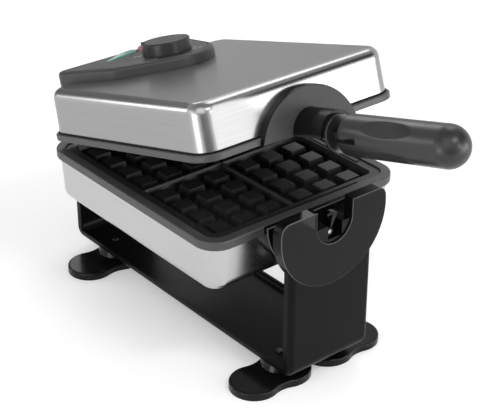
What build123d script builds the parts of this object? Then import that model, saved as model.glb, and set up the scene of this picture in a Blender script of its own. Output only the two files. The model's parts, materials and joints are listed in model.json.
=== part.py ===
from build123d import *
import os
from math import atan, degrees, sqrt

# A flip waffle maker: a cooking unit that turns about a front-to-back axis in a U-shaped stand.
# Front (grip) is -Y, +Z is up. Sizes are in millimetres.
# The unit is drawn shut, with the middle of its body at Y = 0.
# The lid is opened, and the whole moved to its origin, when the pieces are written.

# Place in the shared frame
body_y = 60.0  # middle of the body behind the origin, which is under the middle of the whole
lid_open = 15.7  # lid angle at rest, from shut

# Cooking unit
axis_z = 178.5  # flip axis and parting plane above the table
part_gap = 0.6  # between the two rims when shut
rim_w = 242.0
rim_d = 276.0
rim_corner_r = 24.0
rim_edge_r = 1.6
rim_wall = 10.0
ledge_w = 6.0
rim_inset = 4.0  # steel set in from the rim
steel_t = 1.2
lower_rim_h = 9.5
pan_h = 49.0
pan_draft = 2.7
pan_edge_r = 12.5
lid_rim_h = 7.0
lid_h = 46.0
lid_draft = 1.6
lid_edge_r = 10.0

# Grid plates
lip_recess = 1.7  # plate's lip behind the rim's face
lip_clear = 1.0
lip_t = 3.0
tub_clear = 0.5
tub_wall = 3.5
cavity_depth = 14.0
cavity_draft = 3.0
cavity_corner_r = 7.0
floor_t = 4.0
stud_w = 22.0
stud_d = 20.0
stud_h = 10.0
stud_taper = 11.0
stud_column_count = 3  # per section
stud_row_count = 4
ridge_h = 11.0
ridge_half = 4.5
ridge_top_half = 1.2
bead_w = 4.0  # raised bar along each side of the plate
bead_h = 1.1
bead_short = 36.0  # bar's end from the plate's corner

# Heaters and their shields
rod_r = 3.25
rod_touch = 0.1
heater_w = 144.0
heater_front_in = 50.0  # from the rim's front
heater_rear_in = 40.0
heater_bend_r = 34.0
shield_depth = 24.0
shield_t = 0.8
shield_clear = 1.0
shield_flange = 7.0
shield_edge_r = 6.0

# Stand
stand_w = 104.0
front_reach = 34.0  # front post before the rim
rear_reach = 66.0  # rear post behind the rim
base_z = 18.0  # underside of the base
sheet_t = 2.5
base_lip_h = 9.0  # depth of the base's folded edges
post_lip_h = 11.0
fold_r = 6.0
bend_r = 12.0
socket_clear = 0.2
front_post_drop = 36.0  # post top below the axis
rear_post_drop = 60.0

# Front head with its open cradle
head_r = 66.5
head_top = 17.0  # flat top above the axis
head_corner_r = 10.0
head_t = 12.5
head_proud = 1.5  # in front of the post
head_edge_r = 1.2

# Rear head with its bush
boss_r = 21.0
rear_head_t = 17.0
rear_head_proud = 1.0
rear_head_overlap = 18.0
bush_r = 14.0
press_clear = 0.05

# Feet
foot_front_in = 35.5  # behind the front post's face
foot_rear_in = 51.0  # before the rear post's face
foot_h = 8.0
foot_edge_r = 2.4
side_lobe_x = 67.5
side_lobe_r = 25.5
inner_lobe_x = 28.3
inner_lobe_r = 27.6
waist_r = 30.0
pedestal_r = 20.0
pedestal_top_r = 16.0
pedestal_shift = 7.0  # pedestal and screw, towards the back of the foot

# Screws
shank_r = 1.9
screw_head_r = 4.0
screw_head_h = 2.2
hole_clear = 0.3
base_screw_l = 9.0
short_screw_l = 7.0
head_screw_x = 30.0
head_screw_up = 8.0  # above the foot of each head's socket
head_screw_short = 1.0  # tip short of the post's outer face

# Journals of the flip axis
journal_r = 22.0
run_clear = 0.35
journal_inset = 2.5  # behind the front head's face
journal_flat = 3.5
channel_left = -6.5
channel_right = 11.0
channel_wall = 10.0  # behind the channel, to the rim
channel_depth = 18.0
journal_plate_r = 58.0
journal_screw_x = 20.0
journal_screw_drop = 30.0  # below the axis
trunnion_r = 11.0
trunnion_fit = 0.08
shoulder_r = 14.0
cap_r = 15.5
cap_t = 3.0
cap_gap = 0.4

# Hinge
hinge_back = 20.0  # pin behind the rim
hinge_up = 16.5
hinge_pin_r = 3.0
pin_fit = 0.06
lug_r = 7.5
lug_inner_x = 36.0
lug_t = 10.0
ear_gap = 1.0
ear_t = 8.0
bracket_t = 11.5
bracket_top = 3.0  # above the axis
bracket_w = 96.0
bracket_drop = 49.0
bracket_gap = 0.5
bracket_screw_x = 34.0
bracket_screw_low = 43.0
bracket_screw_high = 31.0
trunnion_boss_r = 16.0
trunnion_boss_l = 3.0
ear_plate_h = 26.0
ear_plate_t = 3.0
ear_plate_up = 3.0
ear_screw_x = 30.0

# Latch
latch_x = -2.0
latch_drop = 12.0
latch_pin_r = 2.0
latch_boss_r = 4.0
latch_curl_t = 2.6
latch_arm_start = 62.0
latch_arm_end = 80.0
latch_tip = 101.0
latch_inset = 3.0  # behind the journal's face
latch_t = 6.0
strike_x = -8.0
strike_up = 2.3
strike_r = 1.7
strike_clear = 0.5  # under the hook's curl
pocket_side = 13.0
pocket_clear = 2.5  # round the hook

# Handle
disc_r = 60.0
disc_drop = 17.5  # centre below the parting plane
disc_t = 5.5
disc_edge_r = 1.5
hub_less = 0.3  # hub's radius under the journal's
hub_proud = 8.0  # in front of the front head
collar_r = 18.5
collar_t = 4.0
tongue_w = 22.0
tongue_t = 6.0
tongue_up = 1.5
fold_reach = 31.0  # fold pin in front of the hub
fold_pin_r = 4.0
fold_clear = 0.7
grip_r = 19.4
grip_gap = 12.5  # collar to grip
grip_l = 141.4
grip_end_flat = 0.4  # radius left flat on the domed end
grip_edge_r = 4.0
grip_pin_inset = 1.5
scoop_in = 62.0  # middle of the hollows from the grip's start
scoop_l = 76.0
scoop_half_w = 7.6
scoop_depth = 2.6
scoop_count = 4

# Control panel
panel_h = 11.0
panel_overhang = 13.0  # behind the rim; the depths below are from the panel's rear
panel_left = 91.5
panel_right = 70.0
panel_corner_r = 11.0
panel_nose_x = 13.0
panel_nose_in = 66.0
panel_nose_r = 45.5
panel_shoulder_x = -30.0
panel_shoulder_in = 43.0
panel_shoulder_r = 42.0
panel_edge_r = 4.0
panel_skirt = 10.0
groove_in = 5.0
groove_w = 1.0
groove_depth = 0.8
dial_x = 8.0
dial_in = 67.3
dial_r = 25.8
dial_h = 13.0
dial_gap = 0.4
dial_draft = 2.0
dial_edge_r = 1.6
pointer_w = 2.6
pointer_up = 0.8
pointer_out = 0.2
pointer_l = 4.5
pointer_angle = 140.0
shaft_r = 3.0
shaft_clear = 0.35
shaft_in = 8.0  # into the thermostat
shaft_up = 9.0  # into the dial
thermostat_r = 14.0
thermostat_h = 16.0
lens_up = 2.4
lens_depth = 3.0
lens_clear = 0.1
ready_lens_x = 0.0
ready_lens_in = 14.5
ready_lens_r = 5.5
ready_tail_x = -42.0
ready_tail_in = 28.0
ready_tail_r = 1.8
power_lens_x = 13.0
power_lens_in = 13.0
power_lens_r = 4.5

# Levels and places worked out from the sizes above
lower_rim_top = axis_z - part_gap / 2
pan_top = lower_rim_top - lower_rim_h
lid_rim_bottom = axis_z + part_gap / 2
shell_bottom = lid_rim_bottom + lid_rim_h
lid_top = shell_bottom + lid_h
rim_front_y = -rim_d / 2
rim_rear_y = rim_d / 2
steel_w = rim_w - 2 * rim_inset
steel_d = rim_d - 2 * rim_inset
steel_corner_r = rim_corner_r - rim_inset
opening_w = rim_w - 2 * rim_wall
opening_d = rim_d - 2 * rim_wall
opening_r = rim_corner_r - rim_wall
plate_depth = cavity_depth + floor_t
lower_lip_z = lower_rim_top - lip_recess
upper_lip_z = lid_rim_bottom + lip_recess
heater_front_y = rim_front_y + heater_front_in
heater_rear_y = rim_rear_y - heater_rear_in
hinge_y = rim_rear_y + hinge_back
hinge_z = axis_z + hinge_up
base_top = base_z + sheet_t
front_post_y = rim_front_y - front_reach
rear_post_y = rim_rear_y + rear_reach
front_post_top = axis_z - front_post_drop
rear_post_top = axis_z - rear_post_drop
front_head_y = front_post_y - head_proud
rear_head_y = rear_post_y + rear_head_proud
foot_front_y = front_post_y + foot_front_in
foot_rear_y = rear_post_y - foot_rear_in
cradle_r = journal_r + run_clear
journal_front_y = front_head_y + journal_inset
channel_rear_y = rim_front_y - channel_wall
journal_plate_y = rim_front_y - disc_t
journal_screw_l = disc_t + rim_inset + short_screw_l
latch_front_y = journal_front_y + latch_inset
latch_rear_y = latch_front_y + latch_t
latch_inner_r = sqrt((strike_x - latch_x) ** 2 + (strike_up + latch_drop) ** 2) + strike_r + strike_clear
latch_outer_r = latch_inner_r + latch_curl_t
pocket_front_y = latch_front_y - pocket_clear
pocket_rear_y = latch_rear_y + pocket_clear
pocket_top = axis_z - latch_drop + latch_outer_r + pocket_clear
hub_r = journal_r - hub_less
hub_front_y = front_head_y - hub_proud
fold_y = hub_front_y - fold_reach
slot_half = tongue_w / 2 + fold_clear
grip_start_y = hub_front_y - collar_t - grip_gap
scoop_y = grip_start_y - scoop_in
panel_top = lid_top + panel_h
panel_rear_y = rim_rear_y + panel_overhang
dial_y = panel_rear_y - dial_in
hand = {"left": -1, "right": 1}
stand = (Align.CENTER, Align.CENTER, Align.MIN)  # drawn upwards from its place
hang = (Align.CENTER, Align.CENTER, Align.MAX)  # drawn downwards from its place


def level(z, up=1):
    # A horizontal drawing plane at height z that faces up or down
    return Plane(origin=(0, 0, z), x_dir=(1, 0, 0), z_dir=(0, 0, up))


def across(y):
    # A drawing plane facing the front at depth y; its own x is X and its own y is Z
    return Plane(origin=(0, y, 0), x_dir=(1, 0, 0), z_dir=(0, -1, 0))


def facing(x, y, z, back):
    # A place whose own up points to the back (1) or to the front (-1)
    return Location(Plane(origin=(x, y, z), z_dir=(0, back, 0)))


def rod(radius, front_y, rear_y, x, z):
    # A round bar along Y
    return extrude(across(rear_y) * Pos(x, z) * Circle(radius), amount=rear_y - front_y)


def slab(left, right, front_y, rear_y, bottom, top):
    # A block between six planes
    size = Box(right - left, rear_y - front_y, top - bottom, align=(Align.MIN, Align.MIN, Align.MIN))
    return Pos(left, front_y, bottom) * size


def screw(place, length):
    # A pan-head screw whose head stands on the place and whose shank goes down its -Z
    head = Cylinder(screw_head_r, screw_head_h, align=stand)
    head = fillet(head.edges().sort_by(Axis.Z)[-1], screw_head_h / 2)
    shank = Cylinder(shank_r, length, align=hang)
    return place * (head + shank)


def screw_hole(place, length):
    # The hole for that screw's shank, with clearance
    radius = shank_r + press_clear
    return place * Cylinder(radius, length + hole_clear, align=hang)


def steel_block(w, d, corner_r, height, draft, edge_r, z, up):
    # A drafted block with a rounded far edge, standing on or hanging from height z
    lean = degrees(atan(draft / height))
    block = extrude(level(z, up) * RectangleRounded(w, d, corner_r), amount=height, taper=lean)
    far = block.faces().sort_by(Axis.Z)[-1 if up > 0 else 0]
    return fillet(far.edges(), edge_r)


def pan_block():
    return steel_block(steel_w, steel_d, steel_corner_r, pan_h, pan_draft, pan_edge_r, pan_top, -1)


def lid_block():
    return steel_block(steel_w, steel_d, steel_corner_r, lid_h, lid_draft, lid_edge_r, shell_bottom, 1)


def hollow_block(height, draft, edge_r, z, up):
    # What is taken out of a steel block to leave its wall
    w = steel_w - 2 * steel_t
    d = steel_d - 2 * steel_t
    return steel_block(w, d, steel_corner_r - steel_t, height - steel_t, draft, edge_r - steel_t, z, up)


def journal_screws():
    # Two screws that hold the front journal's plate to the pan
    z = axis_z - journal_screw_drop
    return [facing(s * journal_screw_x, journal_plate_y, z, -1) for s in hand.values()]


def bracket_screws():
    # Four screws that hold the rear bracket to the pan
    heights = (pan_top - bracket_screw_low, pan_top - bracket_screw_high)
    return [facing(s * bracket_screw_x, rim_rear_y, z, 1) for s in hand.values() for z in heights]


def ear_screws():
    # Two screws that hold the hinge ears to the lid shell
    z = shell_bottom + ear_plate_up + ear_plate_h / 2
    y = rim_rear_y - rim_inset + ear_plate_t
    return [facing(s * ear_screw_x, y, z, 1) for s in hand.values()]


def base_screws():
    # One screw for each foot, on the base's floor
    front = foot_front_y + pedestal_shift
    rear = foot_rear_y + pedestal_shift
    return [Pos(s * inner_lobe_x, y, base_top) for s in hand.values() for y in (front, rear)]


def head_screws():
    # Places and lengths of two screws for each head, driven from inside through its plug into the post
    front_z = axis_z - head_r + head_screw_up + screw_head_r
    front_l = head_t - head_proud - head_screw_short
    rear_z = rear_post_top - rear_head_overlap + head_screw_up
    rear_l = rear_head_t - rear_head_proud - head_screw_short
    front = [(facing(s * head_screw_x, front_head_y + head_t, front_z, 1), front_l) for s in hand.values()]
    rear = [(facing(s * head_screw_x, rear_head_y - rear_head_t, rear_z, -1), rear_l) for s in hand.values()]
    return front + rear


def stand_block(inset, edge_r):
    # The stand's outer form, or that form drawn in by the sheet, as one block with rounded long edges
    tall = axis_z
    low = base_z + inset
    front = front_post_y + inset
    rear = rear_post_y - inset
    side = Plane.YZ * Pos((front + rear) / 2, (low + tall) / 2) * Rectangle(rear - front, tall - low)
    side = fillet(side.vertices().group_by(Axis.Z)[0], bend_r - inset)
    block = extrude(side, amount=stand_w / 2 - inset, both=True)
    ends = block.faces().filter_by(Plane.YZ)
    long_edges = [edge for edge in ends.edges() if edge.center().Z < tall - sheet_t]
    return fillet(long_edges, edge_r)


def stand_frame():
    # One folded channel: base and two posts, with the edges turned in
    frame = stand_block(0, fold_r) - stand_block(sheet_t, fold_r - sheet_t)
    front = front_post_y + post_lip_h
    rear = rear_post_y - post_lip_h
    frame -= slab(-stand_w, stand_w, front, rear, base_z + base_lip_h, 2 * axis_z)
    middle = (front + rear) / 2
    frame -= slab(-stand_w, stand_w, 2 * front_post_y, middle, front_post_top, 2 * axis_z)
    frame -= slab(-stand_w, stand_w, middle, 2 * rear_post_y, rear_post_top, 2 * axis_z)
    for place in base_screws():
        frame -= screw_hole(place, sheet_t)
    for place, length in head_screws():
        frame -= screw_hole(place, length + sheet_t)
    return frame


def post_socket(outer_y, inward, top):
    # The room that a post's channel needs in a head: its outside less the plug between its folded edges
    inner_y = outer_y + inward * post_lip_h
    half = stand_w / 2
    front, rear = sorted((outer_y - inward * socket_clear, inner_y + inward * socket_clear))
    room = slab(-half - socket_clear, half + socket_clear, front, rear, 0, top + socket_clear)
    plug_half = half - sheet_t - socket_clear
    plug_front, plug_rear = sorted((outer_y + inward * (sheet_t + socket_clear), inner_y + inward * sheet_t))
    plug = slab(-plug_half, plug_half, plug_front, plug_rear, 0, 2 * axis_z)
    return room - fillet(plug.edges().filter_by(Axis.Z), fold_r - sheet_t)


def front_head():
    # A disc with a flat top and a U-shaped cradle open at the top
    outline = Pos(0, axis_z) * Circle(head_r)
    outline &= Pos(0, axis_z + head_top) * Rectangle(4 * head_r, 4 * head_r, align=(Align.CENTER, Align.MAX))
    outline = fillet(outline.vertices().group_by(Axis.Y)[-1], head_corner_r)
    cradle = Pos(0, axis_z) * Circle(cradle_r)
    cradle += Pos(0, axis_z) * Rectangle(2 * cradle_r, 2 * head_top, align=(Align.CENTER, Align.MIN))
    body = extrude(across(front_head_y + head_t) * (outline - cradle), amount=head_t)
    body = fillet(body.faces().sort_by(Axis.Y)[0].edges(), head_edge_r)
    body -= post_socket(front_post_y, 1, front_post_top)
    for place, length in head_screws():
        body -= screw_hole(place, length)
    return body


def rear_head():
    # A shield-shaped bearing block that stands on the rear post
    foot_z = rear_post_top - rear_head_overlap
    half = stand_w / 2
    boss = Pos(0, axis_z) * Circle(boss_r)
    foot = Pos(0, foot_z) * Rectangle(stand_w, rear_head_overlap, align=(Align.CENTER, Align.MIN))
    outline = make_hull(boss.edges() + foot.edges())
    body = extrude(across(rear_head_y) * outline, amount=rear_head_t)
    body = fillet(body.faces().sort_by(Axis.Y)[0].edges(), head_edge_r)
    body -= post_socket(rear_post_y, -1, rear_post_top)
    body -= slab(-2 * half, 2 * half, rear_post_y - sheet_t, 2 * rear_post_y, 0, rear_post_top + socket_clear)
    body -= rod(bush_r + press_clear, 0, 2 * rear_post_y, 0, axis_z)
    for place, length in head_screws():
        body -= screw_hole(place, length)
    return body


def rear_bush():
    # A plain bush for the rear trunnion
    front = rear_head_y - rear_head_t
    bore = rod(trunnion_r + trunnion_fit, front, rear_head_y, 0, axis_z)
    return rod(bush_r, front, rear_head_y, 0, axis_z) - bore


def foot(y):
    # The right-hand pad at depth y: two lobes with a drawn-in waist, and a pedestal that meets the base
    apart = side_lobe_x - inner_lobe_x
    inner_reach = inner_lobe_r + waist_r
    side_reach = side_lobe_r + waist_r
    along = (inner_reach**2 - side_reach**2 + apart**2) / (2 * apart)
    out = sqrt(inner_reach**2 - along**2)
    waist_x = inner_lobe_x + along
    pad = Pos(side_lobe_x, y) * Circle(side_lobe_r) + Pos(inner_lobe_x, y) * Circle(inner_lobe_r)
    pad += Polygon((inner_lobe_x, y), (waist_x, y - out), (side_lobe_x, y), (waist_x, y + out), align=None)
    pad -= Pos(waist_x, y - out) * Circle(waist_r) + Pos(waist_x, y + out) * Circle(waist_r)
    body = extrude(pad, amount=foot_h)
    body = fillet(body.faces().sort_by(Axis.Z)[-1].edges(), foot_edge_r)
    place = Pos(inner_lobe_x, y + pedestal_shift, foot_h)
    body += place * Cone(pedestal_r, pedestal_top_r, base_z - foot_h, align=stand)
    for spot in base_screws():
        body -= screw_hole(spot, base_screw_l)
    return body


def lower_pan():
    # Brushed steel pan, open at the top
    pan = pan_block() - hollow_block(pan_h, pan_draft, pan_edge_r, pan_top, -1)
    for place in journal_screws():
        pan -= screw_hole(place, journal_screw_l)
    for place in bracket_screws():
        pan -= screw_hole(place, short_screw_l)
    return pan


def lid_shell():
    # Brushed steel lid, open underneath, with a hole for the dial's shaft
    shell = lid_block() - hollow_block(lid_h, lid_draft, lid_edge_r, shell_bottom, 1)
    shell -= Pos(dial_x, dial_y, lid_top) * Cylinder(shaft_r + shaft_clear, 4 * steel_t)
    for place in ear_screws():
        shell -= screw_hole(place, short_screw_l)
    return shell


def rim_frame(height, face_z, up):
    # A moulded frame with a ledge that carries the grid plate; its face lies at the parting plane
    outer = RectangleRounded(rim_w, rim_d, rim_corner_r)
    opening = RectangleRounded(opening_w, opening_d, opening_r)
    ledge_r = max(opening_r - ledge_w, rim_edge_r)
    hole = RectangleRounded(opening_w - 2 * ledge_w, opening_d - 2 * ledge_w, ledge_r)
    band = extrude(level(face_z, up) * outer, amount=height)
    band = fillet(band.faces().filter_by(Plane.XY).edges(), rim_edge_r)
    band -= extrude(level(face_z, up) * opening, amount=lip_recess + lip_t)
    return band - extrude(level(face_z, up) * hole, amount=height)


def grid_plate():
    # A cast tray of tapered studs in four sections; its lip's face lies at height 0 and it hangs below
    lip_w = opening_w - 2 * lip_clear
    lip_d = opening_d - 2 * lip_clear
    tub_w = opening_w - 2 * ledge_w - 2 * tub_clear
    tub_d = opening_d - 2 * ledge_w - 2 * tub_clear
    cavity_w = tub_w - 2 * tub_wall
    cavity_d = tub_d - 2 * tub_wall
    draft = degrees(atan(cavity_draft / cavity_depth))
    tub = RectangleRounded(tub_w, tub_d, cavity_corner_r + tub_wall)
    cavity = RectangleRounded(cavity_w, cavity_d, cavity_corner_r)
    inside = extrude(level(0, -1) * cavity, amount=cavity_depth, taper=draft)
    plate = extrude(level(0, -1) * RectangleRounded(lip_w, lip_d, opening_r - lip_clear), amount=lip_t)
    plate += extrude(level(0, -1) * tub, amount=plate_depth, taper=draft)
    plate -= inside
    floor = -cavity_depth
    stud = extrude(Rectangle(stud_w, stud_d), amount=stud_h, taper=stud_taper)
    pitch_x = (cavity_w / 2 - cavity_draft - ridge_half) / stud_column_count
    pitch_y = (cavity_d / 2 - cavity_draft - ridge_half) / stud_row_count
    spots = [
        Pos(sx * (ridge_half + (i + 0.5) * pitch_x), sy * (ridge_half + (j + 0.5) * pitch_y), floor)
        for sx in hand.values()
        for sy in hand.values()
        for i in range(stud_column_count)
        for j in range(stud_row_count)
    ]
    wedge = Polygon(
        (-ridge_half, 0), (ridge_half, 0), (ridge_top_half, ridge_h), (-ridge_top_half, ridge_h), align=None
    )
    long_ridge = extrude(Plane.XZ * Pos(0, floor) * wedge, amount=cavity_d / 2, both=True)
    cross_ridge = extrude(Plane.YZ * Pos(0, floor) * wedge, amount=cavity_w / 2, both=True)
    ridges = (long_ridge + cross_ridge) & inside
    across_bead = Box(lip_w - 2 * bead_short, bead_w, bead_h, align=stand)
    along_bead = Box(bead_w, lip_d - 2 * bead_short, bead_h, align=stand)
    bead_x = (lip_w + cavity_w) / 4
    bead_y = (lip_d + cavity_d) / 4
    beads = [Pos(s * bead_x, 0, 0) * along_bead for s in hand.values()]
    beads += [Pos(0, s * bead_y, 0) * across_bead for s in hand.values()]
    return plate + ridges + beads + [spot * stud for spot in spots]


def heater(z):
    # A bent heating rod with both ends at the rear
    half = heater_w / 2
    route = FilletPolyline(
        (-half, heater_rear_y, z),
        (-half, heater_front_y, z),
        (half, heater_front_y, z),
        (half, heater_rear_y, z),
        radius=heater_bend_r,
    )
    return sweep(Plane(origin=route @ 0, z_dir=route % 0) * Circle(rod_r), path=route)


def heat_shield(z, up):
    # A thin tray round the heater whose flange lies against the rim
    inner_w = opening_w - 2 * ledge_w + 2 * shield_clear
    inner_d = opening_d - 2 * ledge_w + 2 * shield_clear
    corner = cavity_corner_r + tub_wall + shield_clear
    outer_w = inner_w + 2 * shield_t
    outer_d = inner_d + 2 * shield_t
    outer_r = corner + shield_t
    tray = steel_block(outer_w, outer_d, outer_r, shield_depth, cavity_draft, shield_edge_r, z, up)
    flange = 2 * shield_flange
    rim = RectangleRounded(outer_w + flange, outer_d + flange, corner + shield_flange)
    tray += extrude(level(z, up) * rim, amount=shield_t)
    inner_h = shield_depth - shield_t
    inner_edge_r = shield_edge_r - shield_t
    return tray - steel_block(inner_w, inner_d, corner, inner_h, cavity_draft, inner_edge_r, z, up)


def half_disc(radius, drop, face_z, up, front_y):
    # A round shield cut off at height face_z, with a rounded front edge; its centre is below the axis
    bound = (Align.CENTER, Align.MIN if up > 0 else Align.MAX)
    keep = Pos(0, face_z) * Rectangle(4 * radius, 4 * radius, align=bound)
    disc = (Pos(0, axis_z - drop) * Circle(radius)) & keep
    body = extrude(across(0) * disc, amount=-front_y)
    return fillet(body.faces().sort_by(Axis.Y)[0].edges(), disc_edge_r)


def front_journal():
    # The lower half of the front journal, with a channel for the latch and a half-round plate on the pan
    body = half_disc(journal_plate_r, 0, lower_rim_top, -1, journal_plate_y)
    body -= slab(-rim_w, rim_w, rim_front_y, 0, pan_top, 2 * axis_z)
    body -= slab(-rim_w, rim_w, rim_front_y + 2 * rim_inset, 0, 0, 2 * axis_z)
    body -= pan_block()
    below = Rectangle(4 * journal_r, 2 * journal_r, align=(Align.CENTER, Align.MAX))
    half_round = (Pos(0, axis_z) * Circle(journal_r)) & (Pos(0, axis_z - journal_flat) * below)
    root = journal_plate_y + disc_edge_r
    body += extrude(across(root) * half_round, amount=root - journal_front_y)
    floor = axis_z - channel_depth
    body -= slab(channel_left, channel_right, 2 * journal_front_y, channel_rear_y, floor, 2 * axis_z)
    hole_r = latch_pin_r + press_clear
    body -= rod(hole_r, latch_front_y, channel_rear_y + latch_t, latch_x, axis_z - latch_drop)
    for place in journal_screws():
        body -= screw_hole(place, journal_screw_l)
    return body


def latch_pin():
    # Fixed in the journal's rear wall, it carries the hook
    return rod(latch_pin_r, latch_front_y, channel_rear_y + latch_t, latch_x, axis_z - latch_drop)


def ring_sector(inner_r, outer_r, start, end):
    # A flat piece of a ring between two angles, round the middle of the drawing
    outer = CenterArc((0, 0), outer_r, start, end - start)
    inner = CenterArc((0, 0), inner_r, start, end - start)
    return make_face(outer + inner + Line(outer @ 0, inner @ 0) + Line(outer @ 1, inner @ 1))


def latch_hook():
    # An arm with a curled-over end, turned about its pin
    outline = Circle(latch_boss_r)
    outline += ring_sector(latch_pin_r, latch_outer_r, latch_arm_start, latch_arm_end)
    outline += ring_sector(latch_inner_r, latch_outer_r, latch_arm_start, latch_tip)
    outline -= Circle(latch_pin_r + pin_fit)
    place = across(latch_rear_y) * Pos(latch_x, axis_z - latch_drop)
    return extrude(place * outline, amount=latch_t)


def latch_strike():
    # The cross bar in the upper hub that the hook closes over
    return rod(strike_r, pocket_front_y - strike_r, pocket_rear_y + strike_r, strike_x, axis_z + strike_up)


def rear_bracket():
    # The bracket behind the pan: its plate, the trunnion's boss and two hinge lugs
    half = bracket_w / 2
    back = rim_rear_y + bracket_t
    body = slab(-half, half, 0, back, pan_top - bracket_drop, pan_top)
    body -= pan_block()
    body -= slab(-rim_w, rim_w, 0, rim_rear_y - 4 * rim_inset, 0, axis_z)
    step = pan_top - bracket_drop / 2
    body -= slab(-rim_w, rim_w, rim_rear_y, 2 * rear_post_y, 0, step)
    body += slab(-half, half, rim_rear_y + bracket_gap, back, step, axis_z + bracket_top)
    body += rod(trunnion_boss_r, rim_rear_y + bracket_gap, back + trunnion_boss_l, 0, axis_z)
    lug = Pos(hinge_y, hinge_z) * Circle(lug_r)
    root = Pos(rim_rear_y + bracket_gap, pan_top) * Rectangle(
        bracket_t - bracket_gap, axis_z - pan_top, align=(Align.MIN, Align.MIN)
    )
    web = make_hull(lug.edges() + root.edges())
    for side in hand.values():
        start = side * (lug_inner_x + lug_t / 2)
        body += extrude(Plane.YZ.offset(start) * web, amount=lug_t / 2, both=True)
    pin = Plane.YZ * Pos(hinge_y, hinge_z) * Circle(hinge_pin_r + pin_fit)
    body -= extrude(pin, amount=rim_w, both=True)
    body -= rod(trunnion_r + press_clear, rim_rear_y, 2 * rear_post_y, 0, axis_z)
    for place in bracket_screws():
        body -= screw_hole(place, short_screw_l)
    return body


def rear_trunnion():
    # The rear shaft of the flip axis, with a shoulder between the bracket and the stand
    shaft = rod(trunnion_r, rim_rear_y + bracket_gap, rear_head_y + cap_gap, 0, axis_z)
    back = rim_rear_y + bracket_t + trunnion_boss_l
    return shaft + rod(shoulder_r, back, rear_head_y - rear_head_t - cap_gap, 0, axis_z)


def trunnion_cap():
    # A cap on the shaft's end that keeps it in the bush
    cap = rod(cap_r, rear_head_y + cap_gap, rear_head_y + cap_gap + cap_t, 0, axis_z)
    return fillet(cap.faces().sort_by(Axis.Y)[-1].edges(), cap_t / 3)


def hinge_pins():
    # One short pin on each side
    length = lug_t + ear_gap + ear_t
    bar = Pos(hinge_y, hinge_z) * Circle(hinge_pin_r)
    places = [Plane.YZ.offset(side * (lug_inner_x + length / 2)) for side in hand.values()]
    return [extrude(place * bar, amount=length / 2, both=True) for place in places]


def lid_hinge():
    # A plate on the lid's rear wall with an ear beside each lug
    inner_x = lug_inner_x + lug_t + ear_gap
    outer_x = inner_x + ear_t
    y = rim_rear_y - rim_inset
    low = shell_bottom + ear_plate_up
    body = slab(-outer_x, outer_x, 0, y + ear_plate_t, low, low + ear_plate_h)
    body -= lid_block()
    body -= slab(-rim_w, rim_w, 0, y - 2 * rim_inset, 0, 2 * lid_top)
    eye = Pos(hinge_y, hinge_z) * Circle(lug_r)
    root = Pos(y, low) * Rectangle(ear_plate_t, ear_plate_h, align=(Align.MIN, Align.MIN))
    web = make_hull(eye.edges() + root.edges())
    for side in hand.values():
        body += extrude(Plane.YZ.offset(side * (inner_x + ear_t / 2)) * web, amount=ear_t / 2, both=True)
    hole = Plane.YZ * Pos(hinge_y, hinge_z) * Circle(hinge_pin_r + press_clear)
    body -= extrude(hole, amount=rim_w, both=True)
    for place in ear_screws():
        body -= screw_hole(place, short_screw_l)
    return body - lid_block()


def handle_escutcheon():
    # A round shield on the lid's front, cut off at the parting plane, with the upper half of the journal
    front = rim_front_y - disc_t
    body = half_disc(disc_r, disc_drop, lid_rim_bottom, 1, front)
    above = Rectangle(4 * hub_r, 2 * hub_r, align=(Align.CENTER, Align.MIN))
    hub = (Pos(0, axis_z) * Circle(hub_r)) & (Pos(0, lid_rim_bottom) * above)
    body -= slab(-rim_w, rim_w, rim_front_y, rim_d, 0, shell_bottom)
    body -= slab(-rim_w, rim_w, rim_front_y + 2 * rim_inset, rim_d, 0, 2 * lid_top)
    body -= lid_block()
    body += extrude(across(front + disc_edge_r) * hub, amount=front + disc_edge_r - hub_front_y)
    pocket = (latch_x - pocket_side, latch_x + pocket_side, pocket_front_y, pocket_rear_y)
    body -= slab(*pocket, 0, pocket_top)
    far = strike_r + press_clear
    return body - rod(far, pocket_front_y - far, pocket_rear_y + far, strike_x, axis_z + strike_up)


def handle_neck():
    # A round collar with a flat tongue that the grip folds on
    collar = rod(collar_r, hub_front_y - collar_t, hub_front_y, 0, axis_z)
    collar = fillet(collar.edges(), collar_t / 4)
    tongue = Pos(0, fold_y) * Circle(tongue_w / 2)
    tongue_l = hub_front_y - collar_t / 2 - fold_y
    tongue += Pos(0, fold_y) * Rectangle(tongue_w, tongue_l, align=(Align.CENTER, Align.MIN))
    body = collar + extrude(level(axis_z + tongue_up) * tongue, amount=tongue_t / 2, both=True)
    return body - Pos(0, fold_y, axis_z) * Cylinder(fold_pin_r + pin_fit, 2 * grip_r)


def scoop():
    # A long, shallow finger hollow: a barrel whose flank bites into the grip
    drop = grip_r - sqrt(grip_r**2 - scoop_half_w**2)
    barrel_r = scoop_half_w**2 / (2 * (scoop_depth - drop))
    half = scoop_l / 2
    end_r = barrel_r - scoop_depth
    bulge = ThreePointArc((-half, end_r), (0, barrel_r), (half, end_r))
    blade = make_face(Polyline((half, end_r), (half, 0), (-half, 0), (-half, end_r)) + bulge)
    return Pos(0, 0, grip_r - scoop_depth + barrel_r) * Rot(Z=90) * revolve(blade, axis=Axis.X)


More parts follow.
